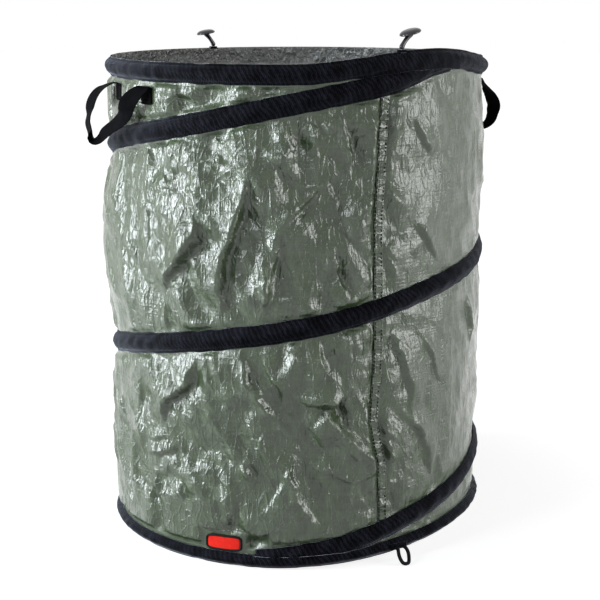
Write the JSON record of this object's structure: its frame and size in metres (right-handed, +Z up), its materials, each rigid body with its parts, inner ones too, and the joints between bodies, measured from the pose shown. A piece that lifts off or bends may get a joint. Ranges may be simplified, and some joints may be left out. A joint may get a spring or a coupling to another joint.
{
  "type": "pop-up leaf bag",
  "caption": "Collapsible garden leaf bag of green woven tarpaulin on a coiled spring wire in black tape, with webbing handles, and toggles and loops that hold it flat.",
  "frame": {"origin": "on the floor, in the middle of the base panel's underside", "axes": "+Z up through the bag's mouth, -Y towards the viewer of the picture, +X to the right in it"},
  "size_m": [0.5117, 0.4546, 0.601],
  "materials": {
    "tarpaulin": "satin woven plastic",
    "black_tape": "matt ribbed weave",
    "black_webbing": "matt weave",
    "black_plastic": "gloss",
    "elastic_cord": "matt braid",
    "spring_steel": "drawn",
    "crimp_aluminium": "satin",
    "red_label": "matt"
  },
  "bodies": {
    "base": {"base_panel": "tarpaulin", "base_sleeve": "black_tape", "base_crimp": "crimp_aluminium", "wall_panel": "tarpaulin", "wall_seam": "tarpaulin", "helix_sleeve": "black_tape", "spring_wire": "spring_steel", "label": "red_label", "front_loop_tab": "black_tape", "back_loop_tab": "black_tape"},
    "rim": {"rim_sleeve": "black_tape", "rim_crimp": "crimp_aluminium", "left_handle_front_tail": "black_webbing", "left_handle_rear_tail": "black_webbing", "right_handle_front_tail": "black_webbing", "right_handle_rear_tail": "black_webbing", "front_toggle_saddle": "black_tape", "back_toggle_saddle": "black_tape"},
    "left_handle": {"left_handle": "black_webbing"},
    "right_handle": {"right_handle": "black_webbing"},
    "front_toggle": {"front_toggle": "black_plastic"},
    "back_toggle": {"back_toggle": "black_plastic"},
    "front_loop": {"front_loop": "elastic_cord"},
    "back_loop": {"back_loop": "elastic_cord"}
  },
  "joints": [
    {"name": "collapse", "type": "slide", "parent": "base", "child": "rim", "axis": [0, 0, 1], "range_m": [-0.453, 0], "stiffness_N_per_m": 55, "springref_m": 0.08, "deforming": ["wall_panel", "wall_seam", "helix_sleeve", "spring_wire", "label"]},
    {"name": "left_handle_swing", "type": "hinge", "parent": "rim", "child": "left_handle", "pos_m": [-0.18556, -0.11821, 0.5365], "axis": [-0.5373, 0.8434, 0], "range_deg": [0, 110]},
    {"name": "right_handle_swing", "type": "hinge", "parent": "rim", "child": "right_handle", "pos_m": [0.2146, 0.04758, 0.5365], "axis": [0.2164, -0.9763, 0], "range_deg": [0, 110]},
    {"name": "front_toggle_bend", "type": "hinge", "parent": "rim", "child": "front_toggle", "pos_m": [0.11327, -0.18852, 0.58097], "axis": [0.8572, 0.515, 0], "range_deg": [-60, 90], "stiffness_Nm_per_rad": 0.02},
    {"name": "back_toggle_bend", "type": "hinge", "parent": "rim", "child": "back_toggle", "pos_m": [-0.11005, 0.19061, 0.5685], "axis": [-0.866, -0.5, 0], "range_deg": [-60, 90], "stiffness_Nm_per_rad": 0.02},
    {"name": "front_loop_lift", "type": "hinge", "parent": "base", "child": "front_loop", "pos_m": [0.11883, -0.19777, 0.01725], "axis": [-0.8572, -0.515, 0], "range_deg": [0, 90]},
    {"name": "back_loop_lift", "type": "hinge", "parent": "base", "child": "back_loop", "pos_m": [-0.11545, 0.19997, 0.0068], "axis": [0.866, 0.5, 0], "range_deg": [0, 90]}
  ]
}
